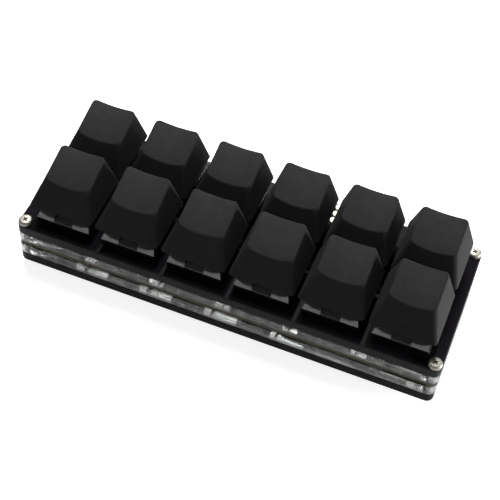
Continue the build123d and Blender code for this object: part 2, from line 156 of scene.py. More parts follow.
class KeypadFinish(bpy.types.PropertyGroup):
    """Colours of the finishes."""

    cap_dark: colour("Key plastic, dark", "Darker grain of the keycap plastic", "#161617")
    cap_light: colour("Key plastic, light", "Lighter grain of the keycap plastic", "#1e1e1f")
    acrylic_black: colour("Black acrylic", "Faces of the black sheets", "#1b181d")
    acrylic_edge: colour("Black acrylic edge", "Cut edges of the black sheets", "#131214")
    acrylic_clear: colour("Clear acrylic", "Tint of the clear sheets", "#d2d5d3")
    mask: colour("Solder mask", "Faces of the circuit board", "#101010")
    laminate: colour("Laminate", "Cut edge of the circuit board", "#4b4736")
    nickel: colour("Nickel plate", "Plated steel of the screws", "#a6a39a")
    # The shells keep their milky tint only in the foot; the slot gets grey painted shade, and the
    # walls above the foot and the side walls get dark painted shade.
    shell_clear: colour("Clear shell", "Tint of the switch tops", "#eef0ef")
    shell_shade: colour("Clear shell, slot", "Sill and slot of the switch tops", "#b0b0b2")
    shell_painted_shade: colour("Clear shell, thin", "Thin walls over a dark inside", "#303033")
    shell_black: colour("Black nylon", "Lower switch shells", "#161617")
    stem_red: colour("Stem", "Acetal of the switch stems", "#9c1f1b")
    rubber: colour("Foot rubber", "Stick-on feet", "#171717")
    bronze: colour("Bronze", "Contact leaves of the switches", "#c79a5b")
    spring_steel: colour("Spring steel", "Wire of the return springs", "#b9b9b6")
    epoxy: colour("Epoxy", "Diodes, controller and chip resistors", "#1b1b1c")
    ceramic: colour("Ceramic", "Chip capacitors", "#9b7f5f")
    crystal_can: colour("Crystal can", "Pressed can of the crystal", "#c9c6be")
    socket_sheet: colour("Socket sheet", "Shell of the data socket", "#c4c4c2")
    insulator: colour("Insulator", "Tongue of the data socket", "#131313")
    solder: colour("Solder", "Joints under the board", "#bdbdbb")
    tin: colour("Tin plate", "Ends of the chips, leads and pads", "#c2c2bf")
    gold: colour("Gold plate", "Contact strips of the data socket", "#d9b25c")
    lamp_resin: colour("Lamp resin", "Lamps under the light guides", "#e4dfc8")
    lamp: colour("Indicator light", "Lit light guides in the top sheet", "#fffbe8")
    floor: colour("Floor", "Plain studio floor", "#e4e4e4")


def sizes():
    """The sizes that are set in the scene."""
    return bpy.context.scene.keypad_sizes


def finish():
    """The colours that are set in the scene."""
    return bpy.context.scene.keypad_finish


# Shader nodes


def add_node(tree, kind, values):
    """Adds a node, sets its properties and inputs by name or number, and links given sockets."""
    node = tree.nodes.new(kind)
    for name, value in values.items():
        if isinstance(name, str) and hasattr(node, name):
            setattr(node, name, value)
        elif isinstance(value, bpy.types.NodeSocket):
            tree.links.new(value, node.inputs[name])
        else:
            node.inputs[name].default_value = value
    return node


def empty_tree(material):
    """The cleared node tree of a material or world."""
    material.use_nodes = True
    material.node_tree.nodes.clear()
    return material.node_tree


def surfaced(material, values):
    """Gives a material its Principled surface."""
    tree = material.node_tree
    shader = add_node(tree, "ShaderNodeBsdfPrincipled", values)
    add_node(tree, "ShaderNodeOutputMaterial", {"Surface": shader.outputs[0]})
    return material


def grain(tree, millimetres, low, high, stretch=(1, 1, 1), detail=2.0):
    """A value between two that varies in patches of a real size, drawn out by stretch."""
    place = add_node(tree, "ShaderNodeTexCoord", {}).outputs["Object"]
    scale = [1 / (millimetres * MM * s) for s in stretch]
    place = add_node(tree, "ShaderNodeMapping", {"Vector": place, "Scale": scale}).outputs[0]
    settings = {"Vector": place, "Scale": 1.0, "Detail": detail}
    noise = add_node(tree, "ShaderNodeTexNoise", settings).outputs[0]
    # Most of the noise lies between 0.3 and 0.7.
    limits = {"From Min": 0.3, "From Max": 0.7, "To Min": low, "To Max": high}
    return add_node(tree, "ShaderNodeMapRange", {"Value": noise, **limits}).outputs[0]


def cut_edges(tree):
    """1 on the cut edges of a lying sheet, 0 on its faces."""
    normal = add_node(tree, "ShaderNodeNewGeometry", {}).outputs["Normal"]
    height = add_node(tree, "ShaderNodeSeparateXYZ", {"Vector": normal}).outputs["Z"]
    size = add_node(tree, "ShaderNodeMath", {"operation": "ABSOLUTE", 0: height}).outputs[0]
    upright = {"operation": "LESS_THAN", 0: size, 1: LYING}
    return add_node(tree, "ShaderNodeMath", upright).outputs[0]


def rgba(tint):
    """A colour with full cover."""
    return (*tint, 1)


# Materials


def pbt_plastic():
    """PBT moulded in a spark-eroded tool: a dry, even grain that breaks up the highlight."""
    material = bpy.data.materials.new("pbt_black_moulded")
    tree = empty_tree(material)
    # The real grain is about 0.1 mm, and is drawn at 0.45 mm to show in the render.
    fine = grain(tree, 0.45, 0, 1)
    tints = {COLOUR_A: rgba(finish().cap_dark), COLOUR_B: rgba(finish().cap_light)}
    tint = add_node(tree, "ShaderNodeMix", {"data_type": "RGBA", 0: fine, **tints})
    bumps = {"Height": fine, "Distance": RELIEF, "Strength": 0.5}
    return surfaced(
        material,
        {
            "Base Color": tint.outputs[COLOUR_OUT],
            "Roughness": grain(tree, 2.5, 0.72, 0.78),
            "Specular IOR Level": 0.24,
            "Normal": add_node(tree, "ShaderNodeBump", bumps).outputs[0],
        },
    )


def black_acrylic():
    """Cast black acrylic sheet: a mirror-smooth face, and cut edges with fine upright lines."""
    material = bpy.data.materials.new("acrylic_black_cast")
    tree = empty_tree(material)
    edge = cut_edges(tree)
    tints = {COLOUR_A: rgba(finish().acrylic_black), COLOUR_B: rgba(finish().acrylic_edge)}
    tint = add_node(tree, "ShaderNodeMix", {"data_type": "RGBA", 0: edge, **tints})
    polish = grain(tree, 6.0, 0.02, 0.07, detail=4.0)
    # The cutter's lines are about 0.2 mm apart, and are drawn at 0.35 mm to show in the render.
    lines = grain(tree, 0.35, 0.5, 0.65, stretch=(1, 1, 30))
    levels = {VALUE_A: polish, VALUE_B: lines}
    rough = add_node(tree, "ShaderNodeMix", {"data_type": "FLOAT", 0: edge, **levels})
    return surfaced(
        material,
        {
            "Base Color": tint.outputs[COLOUR_OUT],
            "Roughness": rough.outputs[0],
            "IOR": ACRYLIC_IOR,
            "Specular IOR Level": 0.24,
        },
    )


def clear_acrylic():
    """Cast clear acrylic sheet: glassy faces, and cut edges hazed and banded by upright lines."""
    material = bpy.data.materials.new("acrylic_clear_cast")
    tree = empty_tree(material)
    edge = cut_edges(tree)
    upright = (1, 1, 40)
    # The cutter's lines are about 0.2 mm apart, and are drawn at 0.6 mm to show in the render.
    haze = grain(tree, 0.6, 0.06, 0.14, stretch=upright)
    levels = {VALUE_A: 0.0, VALUE_B: haze}
    rough = add_node(tree, "ShaderNodeMix", {"data_type": "FLOAT", 0: edge, **levels})
    bands = grain(tree, 2.4, 0.62, 0.96, stretch=upright, detail=4.0)
    levels = {VALUE_A: 1.0, VALUE_B: bands}
    through = add_node(tree, "ShaderNodeMix", {"data_type": "FLOAT", 0: edge, **levels})
    return surfaced(
        material,
        {
            "Base Color": rgba(finish().acrylic_clear),
            "Roughness": rough.outputs[0],
            "IOR": ACRYLIC_IOR,
            "Transmission Weight": through.outputs[0],
        },
    )


def clear_polycarbonate():
    """Moulded clear polycarbonate: milky in its foot, with painted shade above the foot, on the
    side walls and across the slot.
    """
    material = bpy.data.materials.new("polycarbonate_clear_moulded")
    tree = empty_tree(material)
    s = sizes()
    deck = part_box("top_plate")[1].z
    half_pitch = (key_place(KEYS[1]).x - key_place(KEYS[0]).x) / 2
    place = add_node(tree, "ShaderNodeTexCoord", {}).outputs["Object"]
    x, _, z = add_node(tree, "ShaderNodeSeparateXYZ", {"Vector": place}).outputs
    # The object's middle lies between two keys. This is 0 there, and grows towards each key.
    fold = {"operation": "PINGPONG", 0: x, 1: half_pitch}
    inward = add_node(tree, "ShaderNodeMath", fold).outputs[0]
    # Painted shade begins at this edge, low beside the slot and higher towards the corners; below
    # it the foot keeps its milky tint.
    corner = half_pitch - s.shell_width / 2
    rise = {
        "Value": inward,
        "From Min": corner,
        "From Max": corner + s.rim_reach,
        "To Min": deck + s.rim_at_corner,
        "To Max": deck + s.rim_at_slot,
    }
    edge = add_node(tree, "ShaderNodeMapRange", rise).outputs[0]
    above = add_node(tree, "ShaderNodeMath", {"operation": "SUBTRACT", 0: z, 1: edge}).outputs[0]
    fade = {"Value": above, "From Min": -s.rim_fade / 2, "From Max": s.rim_fade / 2}
    shaded = add_node(tree, "ShaderNodeMapRange", fade).outputs[0]
    # Painted shade: the side walls are painted dark all the way down.
    normal = add_node(tree, "ShaderNodeNewGeometry", {}).outputs["Normal"]
    across = add_node(tree, "ShaderNodeSeparateXYZ", {"Vector": normal}).outputs["X"]
    across = add_node(tree, "ShaderNodeMath", {"operation": "ABSOLUTE", 0: across}).outputs[0]
    sideways = {"operation": "GREATER_THAN", 0: across, 1: FACING}
    side = add_node(tree, "ShaderNodeMath", sideways).outputs[0]
    shaded = add_node(tree, "ShaderNodeMath", {"operation": "MAXIMUM", 0: shaded, 1: side}).outputs[0]
    # Painted shade: the middle of the foot, across the slot and its sill, is painted grey, and all
    # above the foot is painted dark.
    middle = {"operation": "GREATER_THAN", 0: inward, 1: half_pitch - s.shell_slot / 2}
    inside = add_node(tree, "ShaderNodeMath", middle).outputs[0]
    tints = {COLOUR_A: rgba(finish().shell_clear), COLOUR_B: rgba(finish().shell_shade)}
    foot = add_node(tree, "ShaderNodeMix", {"data_type": "RGBA", 0: inside, **tints})
    tints = {COLOUR_A: foot.outputs[COLOUR_OUT], COLOUR_B: rgba(finish().shell_painted_shade)}
    tint = add_node(tree, "ShaderNodeMix", {"data_type": "RGBA", 0: shaded, **tints})
    return surfaced(
        material,
        {
            "Base Color": tint.outputs[COLOUR_OUT],
            "Roughness": grain(tree, 1.5, 0.14, 0.24),
            "IOR": POLYCARBONATE_IOR,
            "Transmission Weight": 0.3,
        },
    )


def lit_guide():
    """Milky acrylic light guide with its lamp on: an even warm white."""
    material = bpy.data.materials.new("acrylic_white_lit")
    tree = empty_tree(material)
    return surfaced(
        material,
        {
            "Base Color": rgba(finish().lamp),
            "Roughness": grain(tree, 0.5, 0.3, 0.4),
            "Emission Color": rgba(finish().lamp),
            "Emission Strength": 1.2,
        },
    )


def circuit_laminate():
    """Glass-fibre board: black solder mask on its faces, olive laminate on its cut edge."""
    material = bpy.data.materials.new("fr4_black_mask")
    tree = empty_tree(material)
    tints = {COLOUR_A: rgba(finish().mask), COLOUR_B: rgba(finish().laminate)}
    tint = add_node(tree, "ShaderNodeMix", {"data_type": "RGBA", 0: cut_edges(tree), **tints})
    rough = grain(tree, 0.5, 0.35, 0.5)
    return surfaced(material, {"Base Color": tint.outputs[COLOUR_OUT], "Roughness": rough})


def plated_metal(name, tint, rough, grain_mm):
    """A metal with a fine, slightly uneven finish, which blurs what it mirrors."""
    material = bpy.data.materials.new(name)
    tree = empty_tree(material)
    patches = grain(tree, grain_mm, *rough)
    return surfaced(material, {"Base Color": rgba(tint), "Metallic": 1.0, "Roughness": patches})


def moulded_plastic(name, tint, rough, grain_mm=0.6):
    """A moulded plastic or rubber with the faint texture of its tool, with painted shade where the
    texture dips.
    """
    material = bpy.data.materials.new(name)
    tree = empty_tree(material)
    # The tool's texture is about 0.1 mm, and is drawn coarser to show in the render.
    texture = grain(tree, grain_mm, 0, 1)
    # Painted shade: where the texture is low, the colour is darker.
    hollow_shade = [0.85 * channel for channel in tint]
    tints = {COLOUR_A: rgba(hollow_shade), COLOUR_B: rgba(tint)}
    mottled = add_node(tree, "ShaderNodeMix", {"data_type": "RGBA", 0: texture, **tints})
    bumps = {"Height": texture, "Distance": RELIEF, "Strength": 0.5}
    return surfaced(
        material,
        {
            "Base Color": mottled.outputs[COLOUR_OUT],
            "Roughness": grain(tree, grain_mm, *rough),
            "Normal": add_node(tree, "ShaderNodeBump", bumps).outputs[0],
        },
    )


# Pieces


def as_mesh(name, bm):
    """A mesh made from a bmesh, which is closed."""
    mesh = bpy.data.meshes.new(name)
    bm.to_mesh(mesh)
    bm.free()
    return mesh


def finish_piece(name, bm, material, body, replaced=(), smooth_angle=40):
    """Turns a bmesh into a piece that rides a body, and closes the bmesh."""
    mesh = as_mesh(name, bm)
    return finish_mesh(name, mesh, material, body, replaced, smooth_angle)


def finish_mesh(name, mesh, material, body, replaced=(), smooth_angle=40):
    """Shows a mesh as a piece that rides a body and stands for CAD nodes."""
    mesh.materials.clear()
    mesh.materials.append(material)
    mesh.polygons.foreach_set("use_smooth", [True] * len(mesh.polygons))
    mesh.set_sharp_from_angle(angle=math.radians(smooth_angle))
    piece = bpy.data.objects.new(name, mesh)
    bpy.context.scene.collection.objects.link(piece)
    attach(piece, body)
    if replaced:
        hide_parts(*replaced)
    return piece


def paint(node, material):
    """Gives a CAD node a better material."""
    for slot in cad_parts[node].material_slots:
        slot.material = material


def merged_copy(node):
    """A bmesh of a CAD node with its triangles joined."""
    bm = bmesh.new()
    bm.from_mesh(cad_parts[node].data)
    bmesh.ops.remove_doubles(bm, verts=bm.verts[:], dist=MERGE)
    bmesh.ops.dissolve_degenerate(bm, edges=bm.edges[:], dist=MERGE / 2)
    return bm


def key_place(key):
    """Middle of a key's skirt."""
    low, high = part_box(f"keycap_{key}")
    return Vector(((low.x + high.x) / 2, (low.y + high.y) / 2, low.z))


def spun(points, segments=32):
    """A closed round piece about the Z axis from its profile of (radius, height) points."""
    bm = bmesh.new()
    verts = [bm.verts.new((radius, 0, height)) for radius, height in points]
    edges = [bm.edges.new(pair) for pair in zip(verts, verts[1:])]
    bmesh.ops.spin(
        bm,
        geom=verts + edges,
        cent=(0, 0, 0),
        axis=(0, 0, 1),
        angle=math.tau,
        steps=segments,
        use_merge=True,
    )
    bmesh.ops.remove_doubles(bm, verts=bm.verts[:], dist=MERGE)
    bmesh.ops.recalc_face_normals(bm, faces=bm.faces[:])
    return bm


def copies(bm, places):
    """A bmesh with the given one at each place."""
    mesh = as_mesh("copy_source", bm)
    result = bmesh.new()
    for place in places:
        moved = mesh.copy()
        moved.transform(place)
        result.from_mesh(moved)
        bpy.data.meshes.remove(moved)
    bpy.data.meshes.remove(mesh)
    return result


def add_box(bm, size, centre):
    """Adds a box to a bmesh by its size and its middle."""
    bmesh.ops.create_cube(bm, size=1, matrix=Matrix.LocRotScale(Vector(centre), None, Vector(size)))


def arc(centre_radius, centre_height, radius, start, end, steps):
    """Profile points on an arc, with angles in degrees from the outward direction."""
    points = []
    for i in range(steps + 1):
        angle = math.radians(start + (end - start) * i / steps)
        across, up = radius * math.cos(angle), radius * math.sin(angle)
        points.append((centre_radius + across, centre_height + up))
    return points


# Keycaps


def rounded_face(bm, half_width, front, back, radius):
    """A face with four rounded corners, given the y and z of its front and back edges."""
    corners = bmesh.ops.create_grid(bm, x_segments=1, y_segments=1, size=1)["verts"]
    for vert in corners:
        y, z = front if vert.co.y < 0 else back
        vert.co = Vector((math.copysign(half_width, vert.co.x), y, z))
    bmesh.ops.bevel(
        bm, geom=corners, offset=radius, segments=6, profile=0.5, affect="VERTICES", material=-1
    )
    return [face for face in bm.faces if len(face.verts) > 4][-1]


def cap_outside(half):
    """The keycap's outer skin, open underneath."""
    s = sizes()
    front = -half + s.cap_front_setback
    back = half - s.cap_back_setback
    bm = bmesh.new()
    skirt = rounded_face(bm, half, (-half, 0), (half, 0), s.cap_base_corner)
    skirt_edges = skirt.edges[:]
    bmesh.ops.delete(bm, geom=[skirt], context="FACES_ONLY")
    top = rounded_face(
        bm,
        s.cap_top_width / 2,
        (front, s.cap_front_height),
        (back, s.cap_back_height),
        s.cap_top_corner,
    )
    bmesh.ops.bridge_loops(bm, edges=skirt_edges + top.edges[:])
    # Cuts across the top, along which the dish is bent
    strips = 14
    for i in range(1, strips):
        x = s.cap_top_width * (i / strips - 0.5)
        geometry = bm.verts[:] + bm.edges[:] + bm.faces[:]
        bmesh.ops.bisect_plane(bm, geom=geometry, plane_co=(x, 0, 0), plane_no=(1, 0, 0))
    bmesh.ops.recalc_face_normals(bm, faces=bm.faces[:])
    top_faces = {face for face in bm.faces if abs(face.normal.z) > FACING}
    rim = [e for e in bm.edges if len(top_faces.intersection(e.link_faces)) == 1]
    bmesh.ops.bevel(
        bm, geom=rim, offset=s.cap_rim, segments=3, profile=0.5, affect="EDGES", material=-1
    )
    front_rise = s.cap_front_setback / s.cap_front_height
    back_rise = s.cap_back_setback / s.cap_back_height
    for vert in bm.verts:
        if vert.co.z < s.cap_front_height / 2:
            continue
        share = min(max((vert.co.y - front) / (back - front), 0), 1)
        drop = s.cap_sag * max(1 - (vert.co.x / (s.cap_top_width / 2)) ** 2, 0)
        vert.co.z -= drop
        vert.co.y -= drop * (front_rise * (1 - share) - back_rise * share)
    return bm


def add_cap_inside(bm, half):
    """Closes the skin with a lip, inner walls and a sloping ceiling."""
    s = sizes()
    inner = half - s.cap_wall
    depth = 2 * half - s.cap_front_setback - s.cap_back_setback
    slope = (s.cap_back_height - s.cap_front_height) / depth
    front = -half + s.cap_front_setback
    lip = [e for e in bm.edges if e.is_boundary]
    made = bmesh.ops.extrude_edge_only(bm, edges=lip)
    for vert in new_verts(made):
        vert.co.x *= inner / half
        vert.co.y *= inner / half
    inside = [e for e in bm.edges if e.is_boundary]
    made = bmesh.ops.extrude_edge_only(bm, edges=inside)
    # The leaning walls get a little thinner towards the roof, most of all at the front.
    top_half = s.cap_top_width / 2 - s.cap_wall / 3
    ceiling_front = front + s.cap_wall / 4
    ceiling_back = half - s.cap_back_setback - s.cap_wall
    for vert in new_verts(made):
        share = (vert.co.y / inner + 1) / 2
        vert.co.x *= top_half / inner
        vert.co.y = ceiling_front + share * (ceiling_back - ceiling_front)
        vert.co.z = s.cap_front_height - s.cap_sag - s.cap_roof + slope * (vert.co.y - front)
    bmesh.ops.edgeloop_fill(bm, edges=[e for e in bm.edges if e.is_boundary])


def cross_outline(bm, arm, half):
    """The closed outline of a cross, from its arm length and half its arm width."""
    points = [Vector(p) for p in ((half, half, 0), (half, arm, 0), (-half, arm, 0))]
    corners = []
    for quarter in range(4):
        turn = Matrix.Rotation(quarter * math.pi / 2, 3, "Z")
        corners += [bm.verts.new(turn @ point) for point in points]
    return [bm.edges.new(pair) for pair in zip(corners, corners[1:] + corners[:1])]


def new_verts(made):
    """The vertices among the geometry that an operator made."""
    return [g for g in made["geom"] if isinstance(g, bmesh.types.BMVert)]


def cap_boss():
    """The boss under the keycap, with the cross socket that grips the stem."""
    s = sizes()
    bm = bmesh.new()
    bmesh.ops.create_circle(bm, cap_ends=False, radius=s.boss_diameter / 2, segments=32)
    cross_outline(bm, s.cross_length / 2, s.cross_width / 2)
    bmesh.ops.triangle_fill(bm, use_beauty=True, edges=bm.edges[:])
    grown = bmesh.ops.extrude_face_region(bm, geom=bm.faces[:])
    rise = s.cap_front_height - s.cap_sag - s.boss_bottom
    bmesh.ops.translate(bm, verts=new_verts(grown), vec=(0, 0, rise))
    bmesh.ops.translate(bm, verts=bm.verts[:], vec=(0, 0, s.boss_bottom))
    return bm


def keycap_mesh():
    """One keycap about the middle of its skirt."""
    low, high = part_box(f"keycap_{KEYS[0]}")
    half = (high.x - low.x) / 2
    bm = cap_outside(half)
    add_cap_inside(bm, half)
    boss = as_mesh("boss_source", cap_boss())
    bm.from_mesh(boss)
    bpy.data.meshes.remove(boss)
    bmesh.ops.recalc_face_normals(bm, faces=bm.faces[:])
    return as_mesh("keycap_source", bm)


class KEYPAD_OT_keycaps(bpy.types.Operator):
    """Model the blank sculpted keycaps"""

    bl_idname = "keypad.keycaps"
    bl_label = "Keycaps"

    def execute(self, context):
        material = pbt_plastic()
        source = keycap_mesh()
        for key in KEYS:
            mesh = source.copy()
            mesh.transform(Matrix.Translation(key_place(key)))
            finish_mesh(
                f"cap_{key}",
                mesh,
                material,
                f"key_{key}",
                [f"keycap_{key}"],
                smooth_angle=35,
            )
        bpy.data.meshes.remove(source)
        return {"FINISHED"}


# Case


class KEYPAD_OT_case(bpy.types.Operator):
    """Finish the black sheets and the clear sheets of the case"""

    bl_idname = "keypad.case"
    bl_label = "Case sheets"

    def execute(self, context):
        black = black_acrylic()
        for node in ("top_plate", "bottom_plate"):
            paint(node, black)
        clear = clear_acrylic()
        for node in ("upper_spacer", "lower_spacer"):
            low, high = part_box(node)
            middle = (low.z + high.z) / 2
            # Thinned a little, because light needs air between a clear face and its neighbour
            share = 1 - 2 * sizes().sheet_gap / (high.z - low.z)
            bm = merged_copy(node)
            for vert in bm.verts:
                vert.co.z = middle + (vert.co.z - middle) * share
            finish_piece(
                f"{node}_sheet", bm, clear, "base", [node], smooth_angle=30
            )
        return {"FINISHED"}


# Screws


def screw_profile(shank_length):
    """A pan head with a threaded shank, as a profile from the top middle to the tip."""
    s = sizes()
    head = s.head_diameter / 2
    brim = 0.45 * s.head_height
    dome = s.head_height - brim
    points = [(0, s.head_height)]
    flat = 0.62 * head
    steps = 6
    for i in range(1, steps + 1):
        angle = math.pi / 2 * i / steps
        points.append((flat + (head - flat) * math.sin(angle), brim + dome * math.cos(angle)))
    points.append((head, 0))
    crest = s.shank_diameter / 2
    root = crest - s.thread_depth
    turns = int(shank_length / s.thread_pitch)
    points.append((crest, 0))
    for i in range(turns):
        top = -s.thread_pitch * i
        points.append((root, top - s.thread_pitch / 2))
        points.append((crest, top - s.thread_pitch))
    points.append((root, -shank_length))
    points.append((0, -shank_length))
    return points


def recess_cutter():
    """A tapered cross that stands in the head of a screw."""
    s = sizes()
    bm = bmesh.new()
    edges = cross_outline(bm, s.recess_length / 2, s.recess_width / 2)
    bmesh.ops.edgeloop_fill(bm, edges=edges)
    bmesh.ops.translate(bm, verts=bm.verts[:], vec=(0, 0, s.head_height + s.recess_depth))
    grown = bmesh.ops.extrude_face_region(bm, geom=bm.faces[:])
    foot = new_verts(grown)
    taper = 0.45  # width of the lower end, as a share of the upper one
    bmesh.ops.scale(bm, verts=foot, vec=(taper, taper, 1))
    bmesh.ops.translate(bm, verts=foot, vec=(0, 0, -2 * s.recess_depth))
    bmesh.ops.recalc_face_normals(bm, faces=bm.faces[:])
    return as_mesh("recess_cutter", bm)


def cut_away(blank, cutter):
    """One mesh less another. Both are used up."""
    pair = [bpy.data.objects.new(mesh.name, mesh) for mesh in (blank, cutter)]
    for obj in pair:
        bpy.context.scene.collection.objects.link(obj)
    modifier = pair[0].modifiers.new("cut", "BOOLEAN")
    modifier.operation = "DIFFERENCE"
    modifier.solver = "EXACT"
    modifier.object = pair[1]
    bpy.context.view_layer.update()
    depsgraph = bpy.context.evaluated_depsgraph_get()
    result = bpy.data.meshes.new_from_object(pair[0].evaluated_get(depsgraph))
    for obj in pair:
        bpy.data.objects.remove(obj)
    for mesh in (blank, cutter):
        bpy.data.meshes.remove(mesh)
    return result


class KEYPAD_OT_screws(bpy.types.Operator):
    """Model the four pan-head screws with cross recesses"""

    bl_idname = "keypad.screws"
    bl_label = "Corner screws"

    def execute(self, context):
        low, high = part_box("corner_screws")
        inset = sizes().head_diameter / 2
        deck = high.z - sizes().head_height
        blank = as_mesh("screw_blank", spun(screw_profile(deck - low.z), segments=28))
        mesh = cut_away(blank, recess_cutter())
        bm = bmesh.new()
        bm.from_mesh(mesh)
        bpy.data.meshes.remove(mesh)
        xs = (low.x + inset, high.x - inset)
        ys = (low.y + inset, high.y - inset)
        places = [Matrix.Translation((x, y, deck)) for x in xs for y in ys]
        turns = [Matrix.Rotation(math.radians(angle), 4, "Z") for angle in SCREW_TURNS]
        screws = copies(bm, [place @ turn for place, turn in zip(places, turns)])
        # Satin nickel plate: a broad, soft highlight
        material = plated_metal("steel_nickel_plated", finish().nickel, (0.48, 0.6), grain_mm=0.5)
        finish_piece(
            "pan_head_screws",
            screws,
            material,
            "base",
            ["corner_screws"],
            smooth_angle=35,
        )
        return {"FINISHED"}


# Feet


class KEYPAD_OT_feet(bpy.types.Operator):
    """Model the stick-on rubber feet"""

    bl_idname = "keypad.feet"
    bl_label = "Rubber feet"

    def execute(self, context):
        low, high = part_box("rubber_feet")
        radius = sizes().foot_diameter / 2
        rounding = sizes().foot_round
        profile = [(0, high.z), (radius, high.z)]
        profile += arc(radius - rounding, low.z + rounding, rounding, start=0, end=-90, steps=5)
        profile.append((0, low.z))
        xs = (low.x + radius, high.x - radius)
        ys = (low.y + radius, high.y - radius)
        places = [Matrix.Translation((x, y, 0)) for x in xs for y in ys]
        feet = copies(spun(profile, segments=40), places)
        # Moulded rubber: dull and even
        material = moulded_plastic("rubber_black_moulded", finish().rubber, (0.7, 0.85))
        finish_piece("stick_on_feet", feet, material, "base", ["rubber_feet"])
        return {"FINISHED"}


# Switches


class KEYPAD_OT_switches(bpy.types.Operator):
    """Finish the switch shells, stems and contacts"""

    bl_idname = "keypad.switches"
    bl_label = "Switches"

    def add_sills(self, bm, floor):
        """The low sill that closes the foot of each shell's light slot."""
        s = sizes()
        size = (s.shell_slot - s.sheet_gap, s.sill_depth, s.sill_height)
        for key in KEYS:
            place = key_place(key)
            front = place.y - s.shell_width / 2
            add_box(bm, size, (place.x, front + s.sill_depth / 2, floor + s.sill_height / 2))

    def execute(self, context):
        # Moulded nylon: a low, slightly patchy sheen
        nylon = moulded_plastic("nylon_black_moulded", finish().shell_black, (0.4, 0.55))
        paint("switch_bottom_housings", nylon)
        # Moulded acetal: a smooth, waxy sheen
        stem = moulded_plastic("acetal_red_moulded", finish().stem_red, (0.3, 0.45))
        for key in KEYS:
            paint(f"stem_{key}", stem)
        # Rolled bronze strip: a warm, half-bright metal
        contact = plated_metal("bronze_rolled_strip", finish().bronze, (0.25, 0.4), grain_mm=0.8)
        paint("switch_fixed_contacts", contact)
        paint("switch_moving_contacts", contact)
        bm = merged_copy("switch_top_housings")
        # The feet are raised a little, because light needs air under a clear face.
        floor = min(v.co.z for v in bm.verts)
        for vert in bm.verts:
            if vert.co.z - floor < sizes().sheet_gap:
                vert.co.z += sizes().sheet_gap
        self.add_sills(bm, floor + sizes().sheet_gap)
        finish_piece(
            "clear_switch_tops",
            bm,
            clear_polycarbonate(),
            "base",
            ["switch_top_housings"],
            smooth_angle=30,
        )
        return {"FINISHED"}


def spring_coil(low, high):
    """A coil between two corners, one unbroken wire."""
    s = sizes()
    wire = s.spring_wire / 2
    mean = (high.x - low.x) / 2 - wire
    bm = bmesh.new()
    section = bmesh.ops.create_circle(bm, cap_ends=True, radius=wire, segments=8)["verts"]
    bmesh.ops.rotate(bm, verts=section, cent=(0, 0, 0), matrix=Matrix.Rotation(math.pi / 2, 3, "X"))
    bmesh.ops.translate(bm, verts=section, vec=(mean, 0, low.z + wire))
    steps = 20 * s.spring_turns  # 20 to a turn
    rise = (high.z - low.z - 2 * wire) / steps
    bmesh.ops.spin(
        bm,
        geom=bm.verts[:] + bm.edges[:] + bm.faces[:],
        cent=(0, 0, 0),
        axis=(0, 0, 1),
        dvec=(0, 0, rise),
        angle=math.tau * s.spring_turns,
        steps=steps,
    )
    bmesh.ops.remove_doubles(bm, verts=bm.verts[:], dist=MERGE)
    bmesh.ops.recalc_face_normals(bm, faces=bm.faces[:])
    middle = Vector(((low.x + high.x) / 2, (low.y + high.y) / 2, 0))
    bmesh.ops.translate(bm, verts=bm.verts[:], vec=middle)
    return bm


class KEYPAD_OT_springs(bpy.types.Operator):
    """Model the return springs"""

    bl_idname = "keypad.springs"
    bl_label = "Return springs"

    def execute(self, context):
        # Drawn wire: bright along each turn
        steel = finish().spring_steel
        material = plated_metal("steel_spring_wire", steel, (0.2, 0.32), grain_mm=0.4)
        for key in KEYS:
            node = f"spring_{key}"
            low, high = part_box(node)
            coil = spring_coil(low, high)
            piece = finish_piece(
                f"coil_{key}", coil, material, "base", [node], smooth_angle=60
            )
            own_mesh(piece)
        return {"FINISHED"}


# Board


